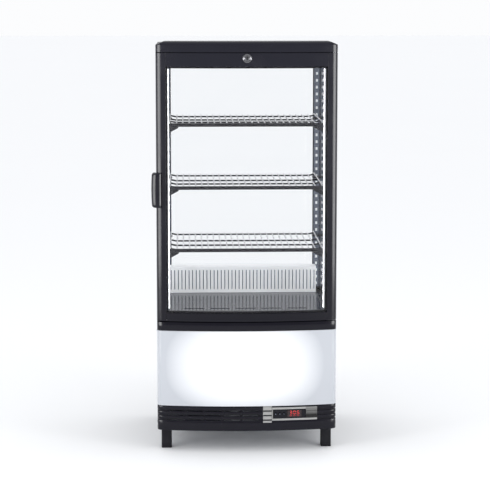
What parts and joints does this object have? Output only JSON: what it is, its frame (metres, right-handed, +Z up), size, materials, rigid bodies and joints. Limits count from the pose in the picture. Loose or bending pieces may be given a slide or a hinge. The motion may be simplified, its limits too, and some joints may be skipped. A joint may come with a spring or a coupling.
{
  "type": "glass door merchandiser",
  "caption": "Countertop refrigerated drinks cabinet with four glass sides, a curved glass front door over a lit sign panel, wire shelves and a louvred base on block feet.",
  "frame": {"origin": "on the surface under the feet, below the middle of the whole bounding box", "axes": "+Z up, the curved glass door faces -Y, +X to the right of someone facing the door, so the hinges are at +X and the handle at -X"},
  "size_m": [0.4384, 0.3926, 0.9765],
  "materials": {
    "black_plastic": "satin black moulded plastic",
    "black_metal": "powder coated black",
    "rubber": "matte black",
    "glass": "clear double glazing",
    "chrome": "bright plated",
    "grey_strip": "satin blue grey",
    "light": "frosted diffuser, lit",
    "white_panel": "opal acrylic, lit from behind",
    "white_plastic": "smooth white",
    "floor_grey": "satin dark grey",
    "silver": "satin silver",
    "steel": "zinc plated",
    "aluminium": "mill finish",
    "display": "dark red window"
  },
  "bodies": {
    "cabinet": {"top_cap": "black_plastic", "insulated_top": "black_metal", "post_front_left": "black_plastic", "post_front_right": "black_plastic", "post_rear_left": "black_plastic", "post_rear_right": "black_plastic", "pilaster_front_left": "grey_strip", "pilaster_front_right": "grey_strip", "pilaster_rear_left": "grey_strip", "pilaster_rear_right": "grey_strip", "side_glass_left": "glass", "side_glass_right": "glass", "rear_glass": "glass", "led_strip_left": "light", "led_strip_right": "light", "sill_frame": "black_plastic", "floor_tray": "floor_grey", "duct_cover": "white_plastic", "evaporator_tub": "white_plastic", "evaporator_coil": "aluminium", "evaporator_fan_frame": "black_plastic", "waist_band": "black_plastic", "sign_panel": "white_panel", "sign_light_board": "aluminium", "front_grille": "black_plastic", "control_bezel": "silver", "control_panel": "black_plastic", "display_lens": "display", "base_pan": "steel", "side_panel_left": "black_metal", "side_panel_right": "black_metal", "rear_panel": "black_metal", "power_inlet": "black_plastic", "foot_front_left": "rubber", "foot_rear_left": "rubber", "foot_front_right": "rubber", "foot_rear_right": "rubber", "compressor": "black_metal", "condenser": "aluminium", "condenser_fan_shroud": "black_metal", "lock_strike": "steel", "hinge_lower": "steel", "hinge_upper": "steel"},
    "door": {"door_stile_left": "black_plastic", "door_stile_right": "black_plastic", "door_top_rail": "black_plastic", "door_bottom_rail": "black_plastic", "door_glass": "glass", "door_gasket": "rubber", "door_handle": "black_plastic"},
    "lock": {"lock_barrel": "chrome", "lock_cam": "steel"},
    "shelf_top": {"wire_shelf_1": "chrome"},
    "shelf_middle": {"wire_shelf_2": "chrome"},
    "shelf_bottom": {"wire_shelf_3": "chrome"},
    "evaporator_fan": {"evaporator_fan": "black_plastic"},
    "condenser_fan": {"condenser_fan": "black_plastic"},
    "key_set": {"key_1": "black_plastic"},
    "key_down": {"key_2": "black_plastic"},
    "key_up": {"key_3": "black_plastic"}
  },
  "joints": [
    {"name": "door_hinge", "type": "hinge", "parent": "cabinet", "child": "door", "pos_m": [0.21075, -0.16375, 0.633], "axis": [0, 0, 1], "range_deg": [0, 105]},
    {"name": "lock_turn", "type": "hinge", "parent": "door", "child": "lock", "pos_m": [0.00575, -0.17375, 0.937], "axis": [0, 1, 0], "range_deg": [0, 90]},
    {"name": "shelf_top_lift", "type": "slide", "parent": "cabinet", "child": "shelf_top", "axis": [0, 0, 1], "range_m": [0, 0.015]},
    {"name": "shelf_middle_lift", "type": "slide", "parent": "cabinet", "child": "shelf_middle", "axis": [0, 0, 1], "range_m": [0, 0.015]},
    {"name": "shelf_bottom_lift", "type": "slide", "parent": "cabinet", "child": "shelf_bottom", "axis": [0, 0, 1], "range_m": [0, 0.015]},
    {"name": "evaporator_fan_spin", "type": "hinge", "parent": "cabinet", "child": "evaporator_fan", "pos_m": [0.00575, 0.12025, 0.27], "axis": [0, 1, 0], "continuous": true},
    {"name": "condenser_fan_spin", "type": "hinge", "parent": "cabinet", "child": "condenser_fan", "pos_m": [0.10875, 0.07325, 0.135], "axis": [0, 1, 0], "continuous": true},
    {"name": "key_set_press", "type": "slide", "parent": "cabinet", "child": "key_set", "axis": [0, 1, 0], "range_m": [0, 0.0008], "stiffness_N_per_m": 400},
    {"name": "key_down_press", "type": "slide", "parent": "cabinet", "child": "key_down", "axis": [0, 1, 0], "range_m": [0, 0.0008], "stiffness_N_per_m": 400},
    {"name": "key_up_press", "type": "slide", "parent": "cabinet", "child": "key_up", "axis": [0, 1, 0], "range_m": [0, 0.0008], "stiffness_N_per_m": 400}
  ]
}
